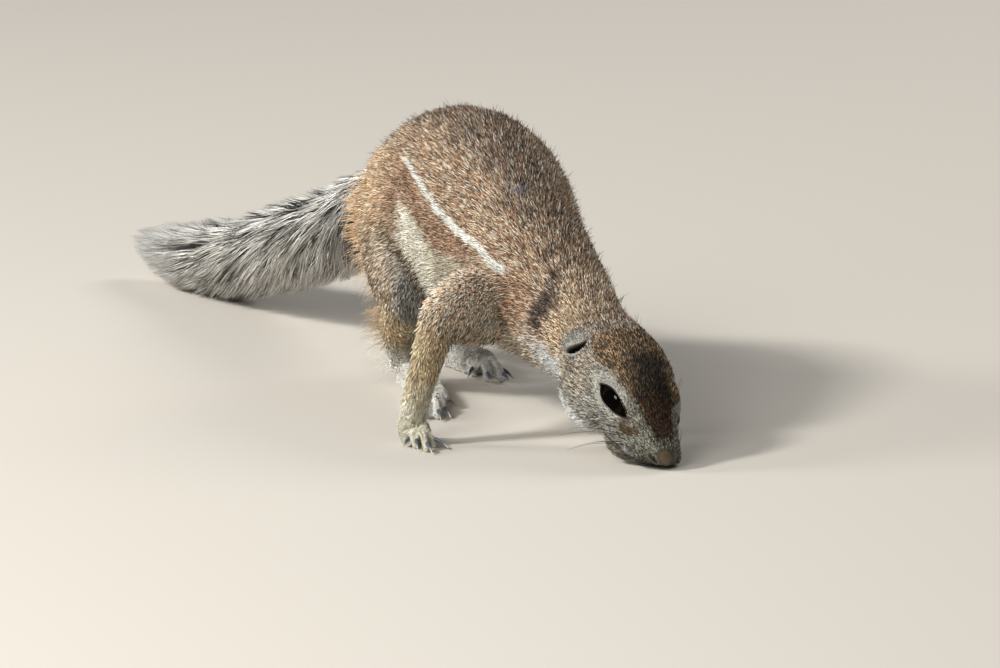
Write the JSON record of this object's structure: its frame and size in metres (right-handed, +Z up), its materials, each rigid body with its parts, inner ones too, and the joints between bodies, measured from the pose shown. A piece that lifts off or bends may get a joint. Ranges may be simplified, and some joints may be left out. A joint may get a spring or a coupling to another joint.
{
  "type": "ground squirrel",
  "caption": "Life-size foraging ground squirrel, nose to the floor, back arched, bushy tail trailing behind",
  "frame": {"origin": "on the floor at the middle of the whole animal's bounds", "axes": "+X the way the trunk heads, towards the nose; +Y to the animal's left; +Z up"},
  "size_m": [0.3642, 0.0852, 0.0857],
  "materials": {
    "coat": "short coarse cinnamon fur, matt",
    "claws": "slate grey horn, satin",
    "eyes": "wet black-brown, glossy",
    "nose_skin": "bare tan skin, slightly damp"
  },
  "bodies": {
    "root": {"nose": "nose_skin", "eye_left": "eyes", "ear_left": "coat", "eye_right": "eyes", "ear_right": "coat", "head": "coat", "neck": "coat", "chest": "coat", "belly": "coat", "rump": "coat", "tail_root": "coat", "tail_middle": "coat", "tail_end": "coat", "upper_arm_right": "coat", "forearm_right": "coat", "fore_claw_right_1": "claws", "fore_claw_right_2": "claws", "fore_claw_right_3": "claws", "fore_claw_right_4": "claws", "forefoot_right": "coat", "upper_arm_left": "coat", "forearm_left": "coat", "fore_claw_left_1": "claws", "fore_claw_left_2": "claws", "fore_claw_left_3": "claws", "fore_claw_left_4": "claws", "forefoot_left": "coat", "thigh_right": "coat", "shank_right": "coat", "hind_claw_right_1": "claws", "hind_claw_right_2": "claws", "hind_claw_right_3": "claws", "hind_claw_right_4": "claws", "hind_claw_right_5": "claws", "hindfoot_right": "coat", "thigh_left": "coat", "shank_left": "coat", "hind_claw_left_1": "claws", "hind_claw_left_2": "claws", "hind_claw_left_3": "claws", "hind_claw_left_4": "claws", "hind_claw_left_5": "claws", "hindfoot_left": "coat"}
  },
  "joints": []
}
